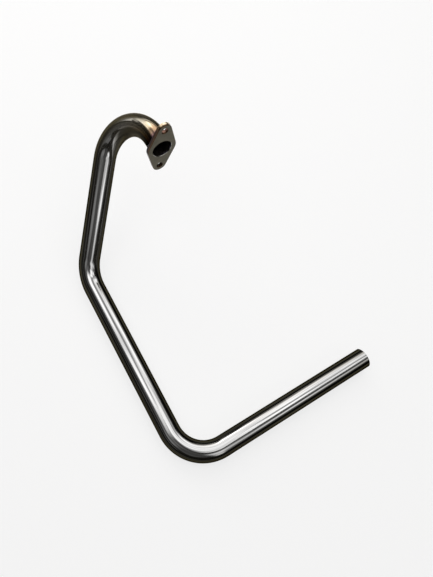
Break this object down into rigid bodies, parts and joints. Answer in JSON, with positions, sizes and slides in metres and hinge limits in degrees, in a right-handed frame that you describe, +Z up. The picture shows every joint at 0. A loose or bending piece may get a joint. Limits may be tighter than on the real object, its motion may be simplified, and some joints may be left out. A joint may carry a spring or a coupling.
{
  "type": "exhaust header pipe",
  "caption": "Bent polished tube that carries a motorcycle's exhaust from the cylinder head to the silencer, with a lozenge port flange welded on and a plain cut tail.",
  "frame": {"origin": "on the floor under the middle of the pipe's box, with the pipe lying as it comes to rest", "axes": "+Z up; +X along the tail run, towards its cut end; +Y from the tail run towards the port flange"},
  "size_m": [0.294, 0.4204, 0.2081],
  "materials": {
    "polished_tube": "polished",
    "flange_steel": "satin",
    "weld_bead": "satin"
  },
  "bodies": {
    "root": {"header_tube": "polished_tube", "port_flange": "flange_steel", "flange_weld": "weld_bead"}
  },
  "joints": []
}
